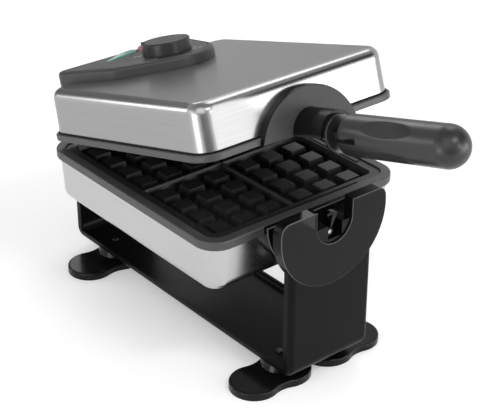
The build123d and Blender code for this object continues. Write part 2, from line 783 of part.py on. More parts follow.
def grip():
    # A round folding grip with a domed end, finger hollows and a slot for the tongue
    body = extrude(Plane.XZ.offset(-grip_start_y) * Circle(grip_r), amount=grip_l)
    body = fillet(body.faces().sort_by(Axis.Y)[-1].edges(), grip_edge_r)
    body = fillet(body.faces().sort_by(Axis.Y)[0].edges(), grip_r - grip_end_flat)
    for i in range(scoop_count):
        body -= Pos(0, scoop_y, 0) * Rot(Y=(i + 0.5) * 360 / scoop_count) * scoop()
    body = Pos(0, 0, axis_z) * body
    height = tongue_t / 2 + fold_clear
    slot = Pos(0, fold_y) * Circle(slot_half)
    slot += Pos(slot_half, fold_y) * Rectangle(2 * grip_r, 2 * grip_r, align=(Align.MAX, Align.MIN))
    slot += Pos(0, fold_y) * Rectangle(2 * grip_r, 2 * slot_half, align=(Align.MAX, Align.CENTER))
    body -= extrude(level(axis_z + tongue_up) * slot, amount=height, both=True)
    return body - Pos(0, fold_y, axis_z) * Cylinder(fold_pin_r + press_clear, 2 * (grip_r - grip_pin_inset))


def grip_pin():
    # The pin that the grip folds about
    return Pos(0, fold_y, axis_z) * Cylinder(fold_pin_r, 2 * (grip_r - grip_pin_inset))


def ready_outline(clear=0.0):
    # A drop-shaped lens
    head = Pos(ready_lens_x, panel_rear_y - ready_lens_in) * Circle(ready_lens_r + clear)
    tail = Pos(ready_tail_x, panel_rear_y - ready_tail_in) * Circle(ready_tail_r + clear)
    return make_hull(head.edges() + tail.edges())


def power_outline(clear=0.0):
    return Pos(power_lens_x, panel_rear_y - power_lens_in) * Circle(power_lens_r + clear)


def lens(outline):
    # A lamp lens with a rounded top, sunk in the panel
    body = extrude(level(panel_top - lens_depth) * outline, amount=lens_depth + lens_up)
    return fillet(body.faces().sort_by(Axis.Z)[-1].edges(), lens_up / 2)


def panel_outline(inset=0.0):
    # A line round the nose, the full left shoulder and the two rear corners, or the same drawn in
    corner_y = panel_rear_y - panel_corner_r
    rounds = [
        Pos(panel_nose_x, panel_rear_y - panel_nose_in) * Circle(panel_nose_r - inset),
        Pos(panel_shoulder_x, panel_rear_y - panel_shoulder_in) * Circle(panel_shoulder_r - inset),
        Pos(panel_corner_r - panel_left, corner_y) * Circle(panel_corner_r - inset),
        Pos(panel_right - panel_corner_r, corner_y) * Circle(panel_corner_r - inset),
    ]
    return make_hull([edge for shape in rounds for edge in shape.edges()])


def control_panel():
    # A raised panel with a round nose that spreads to the lid's rear and wraps over its edge
    body = extrude(level(lid_top - panel_skirt) * panel_outline(), amount=panel_skirt + panel_h)
    body = fillet(body.faces().sort_by(Axis.Z)[-1].edges(), panel_edge_r)
    body -= lid_block()
    border = panel_outline(groove_in) - panel_outline(groove_in + groove_w)
    body -= extrude(level(panel_top - groove_depth) * border, amount=2 * groove_depth)
    body -= Pos(dial_x, dial_y, lid_top) * Cylinder(shaft_r + shaft_clear, 4 * panel_h)
    for shape in (ready_outline(lens_clear), power_outline(lens_clear)):
        body -= extrude(level(panel_top - lens_depth) * shape, amount=2 * lens_depth)
    return body


def thermostat():
    # The switch under the lid's top that the dial turns
    z = lid_top - steel_t
    body = Pos(dial_x, dial_y, z) * Cylinder(thermostat_r, thermostat_h, align=hang)
    socket = Cylinder(shaft_r + shaft_clear, 2 * (shaft_in + shaft_clear))
    return body - Pos(dial_x, dial_y, z) * socket


def dial_shaft():
    low = lid_top - steel_t - shaft_in
    high = panel_top + dial_gap + shaft_up
    return Pos(dial_x, dial_y, low) * Cylinder(shaft_r, high - low, align=stand)


def dial():
    # A short fat knob with a small pointer on its edge
    z = panel_top + dial_gap
    body = extrude(Circle(dial_r), amount=dial_h, taper=dial_draft)
    top = body.faces().sort_by(Axis.Z)[-1]
    body = fillet(top.edges(), dial_edge_r)
    bar = Pos(dial_r - pointer_l + pointer_out, 0, dial_h / 2) * Box(
        pointer_l, pointer_w, dial_h / 2 + pointer_up, align=(Align.MIN, Align.CENTER, Align.MIN)
    )
    bar = fillet(bar.edges().filter_by(Axis.Z), pointer_w / 3)
    body += Rot(Z=pointer_angle) * bar
    body -= Cylinder(shaft_r + press_clear, 2 * (shaft_up + press_clear))
    return Pos(dial_x, dial_y, z) * body


def opened(shape):
    # The lid's rest place: turned about the hinge pin
    return Pos(0, hinge_y, hinge_z) * Rot(X=-lid_open) * Pos(0, -hinge_y, -hinge_z) * shape


def write(name, shape, on_lid=False):
    # One file for each piece, in its rest place
    solids = shape if isinstance(shape, list) else [shape]
    placed = [Pos(0, body_y, 0) * (opened(solid) if on_lid else solid) for solid in solids]
    export_step(placed[0] if len(placed) == 1 else Compound(children=placed), f"parts/{name}.step")


def main():
    os.makedirs("parts", exist_ok=True)
    write("stand_frame", stand_frame())
    write("front_head", front_head())
    write("rear_head", rear_head())
    write("rear_bush", rear_bush())
    for end, y in {"front": foot_front_y, "rear": foot_rear_y}.items():
        right_foot = foot(y)
        write(f"{end}_right_foot", right_foot)
        write(f"{end}_left_foot", mirror(right_foot, about=Plane.YZ))
    write("base_screws", [screw(place, base_screw_l) for place in base_screws()])
    write("head_screws", [screw(place, length) for place, length in head_screws()])

    write("lower_pan", lower_pan())
    write("lower_rim", rim_frame(lower_rim_h, lower_rim_top, -1))
    plate = grid_plate()
    write("lower_grid_plate", Pos(0, 0, lower_lip_z) * plate)
    write("lower_heater", heater(lower_lip_z - plate_depth - rod_r - rod_touch))
    write("lower_heat_shield", heat_shield(pan_top, -1))
    write("front_journal", front_journal())
    write("journal_screws", [screw(place, journal_screw_l) for place in journal_screws()])
    write("latch_pin", latch_pin())
    write("rear_bracket", rear_bracket())
    write("bracket_screws", [screw(place, short_screw_l) for place in bracket_screws()])
    write("rear_trunnion", rear_trunnion())
    write("trunnion_cap", trunnion_cap())
    write("hinge_pins", hinge_pins())
    write("latch_hook", latch_hook())

    write("lid_shell", lid_shell(), True)
    write("lid_rim", rim_frame(lid_rim_h, lid_rim_bottom, 1), True)
    write("upper_grid_plate", Pos(0, 0, upper_lip_z) * mirror(plate, about=Plane.XY), True)
    write("upper_heater", heater(upper_lip_z + plate_depth + rod_r + rod_touch), True)
    write("upper_heat_shield", heat_shield(shell_bottom, 1), True)
    write("lid_hinge", lid_hinge(), True)
    write("ear_screws", [screw(place, short_screw_l) for place in ear_screws()], True)
    write("handle_escutcheon", handle_escutcheon(), True)
    write("latch_strike", latch_strike(), True)
    write("handle_neck", handle_neck(), True)
    write("control_panel", control_panel(), True)
    write("thermostat", thermostat(), True)
    write("ready_lens", lens(ready_outline()), True)
    write("power_lens", lens(power_outline()), True)
    write("dial_shaft", dial_shaft(), True)
    write("dial", dial(), True)
    write("grip", grip(), True)
    write("grip_pin", grip_pin(), True)


main()
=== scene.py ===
import bpy, bmesh, json, math
from mathutils import Euler, Matrix, Vector


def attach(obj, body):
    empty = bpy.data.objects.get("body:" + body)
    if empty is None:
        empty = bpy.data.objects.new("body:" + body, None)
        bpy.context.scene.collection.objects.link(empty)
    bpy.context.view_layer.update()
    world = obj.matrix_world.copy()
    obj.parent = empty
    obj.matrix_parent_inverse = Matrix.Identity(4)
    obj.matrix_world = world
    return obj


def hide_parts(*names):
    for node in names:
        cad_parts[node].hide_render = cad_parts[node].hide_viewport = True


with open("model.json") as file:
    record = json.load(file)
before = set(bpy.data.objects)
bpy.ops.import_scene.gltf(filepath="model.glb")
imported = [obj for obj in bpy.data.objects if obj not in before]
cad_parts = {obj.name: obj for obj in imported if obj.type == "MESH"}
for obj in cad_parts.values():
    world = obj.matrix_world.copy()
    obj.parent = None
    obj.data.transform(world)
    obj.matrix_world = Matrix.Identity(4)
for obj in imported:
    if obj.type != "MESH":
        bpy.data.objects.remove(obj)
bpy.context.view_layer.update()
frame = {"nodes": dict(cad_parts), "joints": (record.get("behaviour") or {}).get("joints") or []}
nodes = frame["nodes"]
joints = {j["name"]: j for j in frame["joints"]}
scene = bpy.context.scene
print("frame loaded,", len(nodes), "nodes")

# the lid stands open at rest, turned this far from shut
lidAngle = math.radians(joints["lid_hinge"]["range_deg"][0])
lidTurn = Matrix.Rotation(lidAngle, 4, "X")
lidUnturn = Matrix.Rotation(-lidAngle, 4, "X")


def shutBox(name):  # a lid node's corners, turned back to the shut lid's level
    points = [lidUnturn @ v.co for v in nodes[name].data.vertices]
    low = Vector([min(v[i] for v in points) for i in range(3)])
    return low, Vector([max(v[i] for v in points) for i in range(3)])


# material helpers
def newFinish(name):
    mat = bpy.data.materials.new(name)
    mat.use_nodes = True
    return mat, mat.node_tree, mat.node_tree.nodes["Principled BSDF"]


def coords(tree, stretch=(1, 1, 1), turn=0.0, at=(0, 0, 0)):
    tex = tree.nodes.new("ShaderNodeTexCoord")
    place = tree.nodes.new("ShaderNodeMapping")
    place.vector_type = "TEXTURE"  # turned back first, stretched after
    place.inputs["Scale"].default_value = [1 / s for s in stretch]
    place.inputs["Rotation"].default_value = (turn, 0, 0)
    place.inputs["Location"].default_value = at
    tree.links.new(tex.outputs["Object"], place.inputs["Vector"])
    return place.outputs["Vector"]


def splitUp(tree, vector):
    split = tree.nodes.new("ShaderNodeSeparateXYZ")
    tree.links.new(vector, split.inputs["Vector"])
    return split.outputs


def faceNormal(tree):  # in the piece's own frame, so it stays put at every pose
    return tree.nodes.new("ShaderNodeTexCoord").outputs["Normal"]


def noise(tree, vector, scale, detail=3.0, rough=0.55):
    n = tree.nodes.new("ShaderNodeTexNoise")
    n.inputs["Scale"].default_value = scale
    n.inputs["Detail"].default_value = detail
    n.inputs["Roughness"].default_value = rough
    tree.links.new(vector, n.inputs["Vector"])
    return n.outputs["Fac"]


def ramp(tree, fac, low, high, colLow, colHigh):
    r = tree.nodes.new("ShaderNodeValToRGB")
    r.color_ramp.elements[0].position = low
    r.color_ramp.elements[1].position = high
    r.color_ramp.elements[0].color = (*colLow, 1)
    r.color_ramp.elements[1].color = (*colHigh, 1)
    tree.links.new(fac, r.inputs["Fac"])
    return r.outputs["Color"]


def spread(tree, fac, low, high, fromLow=0.0, fromHigh=1.0):
    m = tree.nodes.new("ShaderNodeMapRange")
    m.inputs["From Min"].default_value = fromLow
    m.inputs["From Max"].default_value = fromHigh
    m.inputs["To Min"].default_value = low
    m.inputs["To Max"].default_value = high
    tree.links.new(fac, m.inputs["Value"])
    return m.outputs["Result"]


def maths(tree, operation, a, b=None):
    m = tree.nodes.new("ShaderNodeMath")
    m.operation = operation
    tree.links.new(a, m.inputs[0])
    if isinstance(b, float):
        m.inputs[1].default_value = b
    elif b is not None:
        tree.links.new(b, m.inputs[1])
    return m.outputs["Value"]


def blendColours(tree, fac, first, second):
    blend = tree.nodes.new("ShaderNodeMix")
    blend.data_type = "RGBA"
    tree.links.new(fac, blend.inputs["Factor"])
    tree.links.new(first, blend.inputs[6])  # colour sockets go by place, their names aren't theirs alone
    if isinstance(second, tuple):
        blend.inputs[7].default_value = (*second, 1)
    else:
        tree.links.new(second, blend.inputs[7])
    return blend.outputs[2]


def bumpOn(tree, shader, height, strength, distance):
    b = tree.nodes.new("ShaderNodeBump")
    b.inputs["Strength"].default_value = strength
    b.inputs["Distance"].default_value = distance
    tree.links.new(height, b.inputs["Height"])
    tree.links.new(b.outputs["Normal"], shader.inputs["Normal"])


# brushed sheet: fine lines along the faces, level on the two sides, with faint wiped patches
brushing = {"along": 8.0, "across": 2400.0, "detail": 5.0, "rough": 0.7, "darkAt": 0.25, "lightAt": 0.75,
            "sideFrom": 0.72, "wiped": 14.0, "uneven": 0.03, "bump": 0.04, "depth": 0.0002}


def brushLines(tree, b, stretch, turn):
    return noise(tree, coords(tree, stretch, turn), 1.0, b["detail"], b["rough"])


def brushedSheet(name, s, turn=0.0):
    b = brushing
    mat, tree, shader = newFinish(name)
    shader.inputs["Metallic"].default_value = 1.0
    sideways = maths(tree, "ABSOLUTE", splitUp(tree, faceNormal(tree))["X"])
    lines = tree.nodes.new("ShaderNodeMix")
    tree.links.new(maths(tree, "GREATER_THAN", sideways, b["sideFrom"]), lines.inputs["Factor"])
    tree.links.new(brushLines(tree, b, (b["along"], b["across"], b["across"]), turn), lines.inputs["A"])
    tree.links.new(brushLines(tree, b, (b["across"], b["along"], b["across"]), turn), lines.inputs["B"])
    grain = lines.outputs["Result"]
    colour = ramp(tree, grain, b["darkAt"], b["lightAt"], s["dark"], s["light"])
    tree.links.new(colour, shader.inputs["Base Color"])
    patches = spread(tree, noise(tree, coords(tree), b["wiped"]), -b["uneven"], b["uneven"])
    rough = maths(tree, "ADD", spread(tree, grain, s["roughLow"], s["roughHigh"]), patches)
    tree.links.new(rough, shader.inputs["Roughness"])
    bumpOn(tree, shader, grain, b["bump"], b["depth"])
    return mat


# moulded or painted finish: slow clouding of colour and gloss, with a fine skin
moulding = {"cloudLow": 0.3, "cloudHigh": 0.7, "skinDetail": 2.0, "skinDepth": 0.0003}
# painted highlight: paler on the rounded edges between a front face and its sides, as if they caught the
# light
edgeHighlightPaint = {"fullAt": -0.22, "noneAt": -0.06, "least": 0.7}


def clouded(tree, cloud, low, high):
    return spread(tree, cloud, low, high, moulding["cloudLow"], moulding["cloudHigh"])


def cloudedColour(tree, cloud, dark, light):
    return ramp(tree, cloud, moulding["cloudLow"], moulding["cloudHigh"], dark, light)


def skinOn(tree, shader, s):
    skin = noise(tree, coords(tree), s["grain"], moulding["skinDetail"])
    bumpOn(tree, shader, skin, s["bump"], moulding["skinDepth"])


def paintEdgeHighlights(tree, colour, cloud, edgeHighlight):
    facing = maths(tree, "ABSOLUTE", splitUp(tree, faceNormal(tree))["Y"])
    # lowest half way round an edge
    bend = maths(tree, "MULTIPLY", facing, maths(tree, "SUBTRACT", facing, 1.0))
    onBend = spread(tree, bend, 1.0, 0.0, edgeHighlightPaint["fullAt"], edgeHighlightPaint["noneAt"])
    # how much painted highlight each point gets, a little uneven with the clouding
    highlit = maths(tree, "MULTIPLY", onBend, clouded(tree, cloud, edgeHighlightPaint["least"], 1.0))
    return blendColours(tree, highlit, colour, edgeHighlight)


def plainFinish(name, s):
    mat, tree, shader = newFinish(name)
    shader.inputs["Metallic"].default_value = s.get("metal", 0.0)
    shader.inputs["Specular IOR Level"].default_value = s.get("specular", 0.5)
    shader.inputs["Coat Weight"].default_value = s.get("coat", 0.0)
    shader.inputs["Coat Roughness"].default_value = s.get("coatRough", 0.1)
    cloud = noise(tree, coords(tree), s["cloud"])
    colour = cloudedColour(tree, cloud, s["dark"], s["light"])
    # painted highlight on the rounded edges, for the finishes that give one
    if "edgeHighlight" in s:
        colour = paintEdgeHighlights(tree, colour, cloud, s["edgeHighlight"])
    tree.links.new(colour, shader.inputs["Base Color"])
    tree.links.new(clouded(tree, cloud, s["roughLow"], s["roughHigh"]), shader.inputs["Roughness"])
    skinOn(tree, shader, s)
    return mat


# the shield's face is satin; its hub close round the grip's axis is dark and polished; its outer edge gets
# the same polish and the hub's dark colour as painted shade
def onShieldHub(tree, s):
    low, high = shutBox("grip")
    middle = Vector((0, 0, (low.z + high.z) / 2))
    off = splitUp(tree, coords(tree, turn=lidAngle, at=lidTurn @ middle))
    across = maths(tree, "POWER", off["X"], 2.0)
    upDown = maths(tree, "POWER", off["Z"], 2.0)
    away = maths(tree, "SQRT", maths(tree, "ADD", across, upDown))
    return maths(tree, "LESS_THAN", away, s["hubRadius"])


# the faces not turned to the front, the outer edge among them, which get painted shade
def onShieldShadedEdge(tree, s):
    facing = tree.nodes.new("ShaderNodeVectorMath")
    facing.operation = "DOT_PRODUCT"
    tree.links.new(faceNormal(tree), facing.inputs[0])
    facing.inputs[1].default_value = lidTurn @ Vector((0, -1, 0))
    return maths(tree, "LESS_THAN", facing.outputs["Value"], s["faceFrom"])


def shieldFinish(name, s):
    mat, tree, shader = newFinish(name)
    shader.inputs["Specular IOR Level"].default_value = s["specular"]
    # hub and outer edge take the hub's dark colour, on the edge as painted shade
    hubAndShadedEdge = maths(tree, "MAXIMUM", onShieldHub(tree, s), onShieldShadedEdge(tree, s))
    cloud = noise(tree, coords(tree), s["cloud"])
    face = cloudedColour(tree, cloud, s["dark"], s["light"])
    hubAndEdgeShade = cloudedColour(tree, cloud, s["hubAndEdgeShadeDark"], s["hubAndEdgeShadeLight"])
    tree.links.new(blendColours(tree, hubAndShadedEdge, face, hubAndEdgeShade), shader.inputs["Base Color"])
    satin = clouded(tree, cloud, s["roughLow"], s["roughHigh"])
    polish = spread(tree, hubAndShadedEdge, 1.0, s["hubRough"] / s["roughLow"])
    tree.links.new(maths(tree, "MULTIPLY", satin, polish), shader.inputs["Roughness"])
    skinOn(tree, shader, s)
    return mat


# the lid and the pan are the same brushed steel; the lid's copy is painted darker than the pan's, as painted
# shade
shadedLidSteel = brushedSheet("brushedLidShaded", {
    "dark": (0.30, 0.30, 0.303), "light": (0.37, 0.37, 0.373), "roughLow": 0.2, "roughHigh": 0.29}, lidAngle)
panSteel = brushedSheet("brushedPan", {
    "dark": (0.46, 0.46, 0.463), "light": (0.55, 0.55, 0.553), "roughLow": 0.18, "roughHigh": 0.28})
gripBlack = plainFinish("gripBlack", {
    "dark": (0.015, 0.0155, 0.016), "light": (0.02, 0.0205, 0.021), "specular": 0.42, "roughLow": 0.27,
    "roughHigh": 0.35, "cloud": 22.0, "grain": 1100.0, "bump": 0.04})
# the shield's outer edge is painted dark as shade, with the hub's colour
shieldBlack = shieldFinish("shieldBlack", {
    "dark": (0.055, 0.055, 0.0555), "light": (0.065, 0.065, 0.0655), "hubAndEdgeShadeDark": (0.005, 0.0052, 0.0055),
    "hubAndEdgeShadeLight": (0.007, 0.00728, 0.0077), "hubRadius": 0.0224, "hubRough": 0.22, "faceFrom": 0.6,
    "specular": 0.14, "roughLow": 0.4, "roughHigh": 0.5, "cloud": 20.0, "grain": 1500.0, "bump": 0.08})
# the head's rounded edges carry a painted highlight
headBlack = plainFinish("headBlack", {
    "dark": (0.003, 0.0033, 0.003), "light": (0.005, 0.0054, 0.005), "specular": 0.15, "roughLow": 0.18,
    "roughHigh": 0.3, "cloud": 18.0, "grain": 1300.0, "bump": 0.05, "edgeHighlight": (0.13, 0.13, 0.132)})
neckBlack = plainFinish("neckBlack", {
    "dark": (0.015, 0.0155, 0.016), "light": (0.02, 0.0205, 0.021), "specular": 0.4, "roughLow": 0.2,
    "roughHigh": 0.3, "cloud": 24.0, "grain": 1100.0, "bump": 0.05})
darkBandBlack = plainFinish("darkBandBlack", {
    "dark": (0.003, 0.003, 0.003), "light": (0.005, 0.005, 0.005), "specular": 0.12, "roughLow": 0.5,
    "roughHigh": 0.65, "cloud": 80.0, "grain": 900.0, "bump": 0.1})
footBlack = plainFinish("footBlack", {
    "dark": (0.004, 0.004, 0.0043), "light": (0.007, 0.007, 0.0073), "specular": 0.2, "roughLow": 0.16,
    "roughHigh": 0.26, "cloud": 30.0, "grain": 700.0, "bump": 0.04})
rimBlack = plainFinish("rimBlack", {
    "dark": (0.052, 0.053, 0.055), "light": (0.066, 0.067, 0.069), "specular": 0.4, "roughLow": 0.36,
    "roughHigh": 0.48, "cloud": 26.0, "grain": 1600.0, "bump": 0.1})
panelBlack = plainFinish("panelBlack", {
    "dark": (0.031, 0.0315, 0.0315), "light": (0.040, 0.0405, 0.0405), "specular": 0.45, "roughLow": 0.34,
    "roughHigh": 0.46, "cloud": 30.0, "grain": 1600.0, "bump": 0.12})
dialBlack = plainFinish("dialBlack", {
    "dark": (0.012, 0.012, 0.0125), "light": (0.018, 0.018, 0.0185), "specular": 0.35, "roughLow": 0.32,
    "roughHigh": 0.44, "cloud": 40.0, "grain": 1500.0, "bump": 0.1})
bushPlastic = plainFinish("bushPlastic", {
    "dark": (0.5, 0.48, 0.42), "light": (0.58, 0.56, 0.5), "specular": 0.4, "roughLow": 0.4,
    "roughHigh": 0.55, "cloud": 60.0, "grain": 900.0, "bump": 0.1})
standEnamel = plainFinish("standEnamel", {
    "dark": (0.004, 0.004, 0.0042), "light": (0.006, 0.006, 0.0062), "specular": 0.08, "roughLow": 0.26,
    "roughHigh": 0.36, "cloud": 12.0, "grain": 420.0, "bump": 0.06})
bracketPaint = plainFinish("bracketPaint", {
    "dark": (0.014, 0.014, 0.0145), "light": (0.022, 0.022, 0.0225), "specular": 0.35, "roughLow": 0.34,
    "roughHigh": 0.5, "cloud": 30.0, "grain": 800.0, "bump": 0.12})
nonStick = plainFinish("nonStick", {
    "dark": (0.011, 0.011, 0.0115), "light": (0.024, 0.024, 0.0245), "specular": 0.4, "roughLow": 0.32,
    "roughHigh": 0.46, "cloud": 900.0, "grain": 1300.0, "bump": 0.14})
heaterSheath = plainFinish("heaterSheath", {
    "metal": 0.8, "dark": (0.1, 0.09, 0.08), "light": (0.2, 0.18, 0.16), "roughLow": 0.4,
    "roughHigh": 0.6, "cloud": 60.0, "grain": 900.0, "bump": 0.2})
shieldSheet = plainFinish("shieldSheet", {
    "metal": 1.0, "dark": (0.6, 0.6, 0.6), "light": (0.72, 0.72, 0.72), "roughLow": 0.3,
    "roughHigh": 0.45, "cloud": 40.0, "grain": 500.0, "bump": 0.15})
screwSteel = plainFinish("screwSteel", {
    "metal": 1.0, "dark": (0.42, 0.42, 0.43), "light": (0.58, 0.58, 0.59), "roughLow": 0.22,
    "roughHigh": 0.36, "cloud": 200.0, "grain": 1200.0, "bump": 0.1})
screwBlack = plainFinish("screwBlack", {
    "dark": (0.006, 0.006, 0.0065), "light": (0.010, 0.010, 0.0105), "specular": 0.5, "roughLow": 0.16,
    "roughHigh": 0.26, "cloud": 200.0, "grain": 1200.0, "bump": 0.05})
latchSteel = plainFinish("latchSteel", {
    "metal": 1.0, "dark": (0.02, 0.02, 0.021), "light": (0.035, 0.035, 0.036), "roughLow": 0.1,
    "roughHigh": 0.24, "cloud": 150.0, "grain": 900.0, "bump": 0.05})
lensGreen = plainFinish("lensGreen", {
    "dark": (0.07, 0.27, 0.21), "light": (0.12, 0.36, 0.29), "coat": 0.8, "coatRough": 0.08,
    "roughLow": 0.18, "roughHigh": 0.28, "cloud": 180.0, "grain": 1200.0, "bump": 0.03})
lensRed = plainFinish("lensRed", {
    "dark": (0.46, 0.09, 0.11), "light": (0.58, 0.16, 0.18), "coat": 0.8, "coatRough": 0.08,
    "roughLow": 0.18, "roughHigh": 0.28, "cloud": 180.0, "grain": 1200.0, "bump": 0.03})
printWhite = plainFinish("printWhite", {
    "dark": (0.56, 0.56, 0.55), "light": (0.66, 0.66, 0.65), "specular": 0.3, "roughLow": 0.45,
    "roughHigh": 0.6, "cloud": 300.0, "grain": 2000.0, "bump": 0.1})
print("finishes made")

finishOf = {
    shadedLidSteel: ["lid_shell"],
    panSteel: ["lower_pan"],
    gripBlack: ["grip", "trunnion_cap"],
    neckBlack: ["handle_neck"],
    shieldBlack: ["handle_escutcheon"],
    headBlack: ["front_head", "rear_head", "front_journal"],
    footBlack: ["front_left_foot", "front_right_foot", "rear_left_foot", "rear_right_foot"],
    rimBlack: ["lower_rim", "lid_rim"],
    panelBlack: ["control_panel"],
    dialBlack: ["dial"],
    bushPlastic: ["rear_bush", "thermostat"],
    standEnamel: ["stand_frame"],
    bracketPaint: ["rear_bracket", "lid_hinge"],
    nonStick: ["lower_grid_plate", "upper_grid_plate"],
    heaterSheath: ["lower_heater", "upper_heater"],
    shieldSheet: ["lower_heat_shield", "upper_heat_shield"],
    screwSteel: ["head_screws", "journal_screws", "bracket_screws", "ear_screws", "latch_pin", "hinge_pins",
                 "rear_trunnion", "dial_shaft", "grip_pin"],
    screwBlack: ["base_screws"],
    latchSteel: ["latch_hook", "latch_strike"],
    lensGreen: ["ready_lens"],
    lensRed: ["power_lens"],
}
for mat, names in finishOf.items():
    for name in names:
        slots = nodes[name].data.materials
        slots.clear()
        slots.append(mat)
print("finishes on", sum(len(v) for v in finishOf.values()), "nodes")


# mesh helpers
weld = 1e-7  # points closer than this, in metres, are one


def flatSheet(bm, place):  # two units each way before it is placed
    made = bmesh.ops.create_grid(bm, x_segments=1, y_segments=1, size=1.0, matrix=place)
    return facesOf(made["verts"])


def facesOf(verts):
    return list({f for v in verts for f in v.link_faces})


def raiseFaces(bm, faces, height):
    made = bmesh.ops.extrude_face_region(bm, geom=faces)
    top = [v for v in made["geom"] if isinstance(v, bmesh.types.BMVert)]
    bmesh.ops.translate(bm, verts=top, vec=(0, 0, height))


def toMesh(name, bm):
    mesh = bpy.data.meshes.new(name)
    bm.to_mesh(mesh)
    bm.free()
    return mesh


def toObject(name, data):
    made = bpy.data.objects.new(name, data)
    scene.collection.objects.link(made)
    return made


def addPiece(name, bm, place, mat, body, smooth=None):
    bmesh.ops.remove_doubles(bm, verts=bm.verts, dist=weld)
    bmesh.ops.recalc_face_normals(bm, faces=bm.faces)
    bmesh.ops.transform(bm, matrix=place, verts=bm.verts)
    mesh = toMesh(name, bm)
    if smooth:
        mesh.shade_smooth()
        mesh.set_sharp_from_angle(angle=math.radians(smooth))
    mesh.materials.append(mat)
    piece = toObject(name, mesh)
    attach(piece, body)
    return piece


# printed scale round the dial, laid on the panel about the dial's own axis
dialScale = {"from": 211.0, "to": -48.0, "count": 5, "dotsBetween": 3, "dotRing": 0.0295, "dot": 0.0006,
             "dotSides": 12, "tickIn": 0.0280, "tickOut": 0.0312, "tick": 0.0011, "numberRing": 0.0352,
             "number": 0.0052, "curveSteps": 4, "lift": 0.00012, "leaderAt": 136.0, "leaderIn": 0.0280,
             "leaderOut": 0.0355}


def dialPlace():
    up = Vector(joints["dial_turn"]["axis"]).normalized()
    right = Vector((1, 0, 0))
    turn = Matrix((right, up.cross(right), up)).transposed().to_4x4()
    return Matrix.Translation(joints["dial_turn"]["pos_m"]) @ turn


def onRing(angle, radius):
    return Matrix.Rotation(math.radians(angle), 4, "Z") @ Matrix.Translation((radius, 0, 0))


def addDot(bm, s, angle):
    made = bmesh.ops.create_circle(bm, cap_ends=True, segments=s["dotSides"], radius=s["dot"],
                                   matrix=onRing(angle, s["dotRing"]))
    raiseFaces(bm, facesOf(made["verts"]), s["lift"])


def addTick(bm, s, angle, start, end):
    shape = Matrix.Diagonal(((end - start) / 2, s["tick"] / 2, 1, 1))
    raiseFaces(bm, flatSheet(bm, onRing(angle, (start + end) / 2) @ shape), s["lift"])


def addNumber(bm, s, text, angle):
    curve = bpy.data.curves.new("number" + text, "FONT")
    curve.body = text
    curve.size = s["number"]
    curve.align_x = "CENTER"
    curve.align_y = "CENTER"
    curve.extrude = s["lift"] / 2
    curve.resolution_u = s["curveSteps"]
    word = toObject("number" + text, curve)
    mesh = bpy.data.meshes.new_from_object(word)
    bpy.data.objects.remove(word)
    bpy.data.curves.remove(curve)
    at = onRing(angle, s["numberRing"]).translation  # the numbers themselves stay upright
    mesh.transform(Matrix.Translation((at.x, at.y, s["lift"] / 2)))
    bm.from_mesh(mesh)
    bpy.data.meshes.remove(mesh)


def makeDialScale(s):
    step = (s["to"] - s["from"]) / (s["count"] - 1)
    marks = bmesh.new()
    numbers = bmesh.new()
    for i in range(s["count"]):
        angle = s["from"] + i * step
        addTick(marks, s, angle, s["tickIn"], s["tickOut"])
        addNumber(numbers, s, str(i + 1), angle)
        for k in range(s["dotsBetween"] if i < s["count"] - 1 else 0):
            addDot(marks, s, angle + step * (k + 1) / (s["dotsBetween"] + 1))
    addTick(marks, s, s["leaderAt"], s["leaderIn"], s["leaderOut"])
    addPiece("dialMarks", marks, dialPlace(), printWhite, "lid")
    addPiece("dialNumbers", numbers, dialPlace(), printWhite, "lid")


makeDialScale(dialScale)
print("dial scale printed")

# thin near-black band laid where the lid's steel stands on its rim
lidDarkBand = {"clear": 0.00006, "wide": 0.0009, "high": 0.0014, "corner": 0.0206, "steps": 10}


def makeLidDarkBand(s):
    low, high = shutBox("lid_shell")
    high.z = low.z
    reach = s["clear"] + s["wide"]
    half = (high - low) / 2 + Vector((reach, reach, 0))
    bm = bmesh.new()
    flatSheet(bm, Matrix.Diagonal((half.x, half.y, 1, 1)))
    bmesh.ops.bevel(bm, geom=list(bm.verts), offset=s["corner"], affect="VERTICES", segments=s["steps"],
                    profile=0.5, material=-1)
    middle = list(bm.faces)
    bmesh.ops.inset_region(bm, faces=middle, thickness=s["wide"], use_even_offset=True, use_boundary=True)
    bmesh.ops.delete(bm, geom=middle, context="FACES_KEEP_BOUNDARY")
    raiseFaces(bm, list(bm.faces), s["high"])
    place = lidTurn @ Matrix.Translation((low + high) / 2)
    addPiece("lidDarkBand", bm, place, darkBandBlack, "lid")


makeLidDarkBand(lidDarkBand)
print("lid seam laid")

# round grip with four finger hollows and the slot that the neck's tongue folds in
gripShape = {"edge": 0.004, "edgeSteps": 6, "domeSteps": 20, "rows": 165, "round": 144, "weld": 1e-6,
             "hollows": 4, "firstAt": 45.0, "hollowFrom": 0.0615, "hollowHalf": 0.0315, "hollowWide": 0.0084,
             "hollowDeep": 0.0023, "slotLift": 0.0015, "slotHigh": 0.0074, "slotHalf": 0.0117,
             "slotSides": 48, "sharp": 38.0}


def quarterTurn(bm, start, centre, steps):  # swings a point through a quarter circle, gives the last point
    made = bmesh.ops.spin(bm, geom=[start], cent=centre, axis=(0, 0, 1), angle=math.pi / 2, steps=steps)
    return [v for v in made["geom_last"] if isinstance(v, bmesh.types.BMVert)][0]


def gripProfile(bm, s, radius, start, end):
    tip = bm.verts.new((0, end, 0))
    side = quarterTurn(bm, tip, (0, end + radius, 0), s["domeSteps"])
    run = bmesh.ops.extrude_vert_indiv(bm, verts=[side])
    run["verts"][0].co.y = start - s["edge"]
    lip = quarterTurn(bm, run["verts"][0], (radius - s["edge"], start - s["edge"], 0), s["edgeSteps"])
    hubAndEdgeShade = bmesh.ops.extrude_vert_indiv(bm, verts=[lip])
    hubAndEdgeShade["verts"][0].co.x = 0
    bmesh.ops.subdivide_edges(bm, edges=run["edges"], cuts=s["rows"])


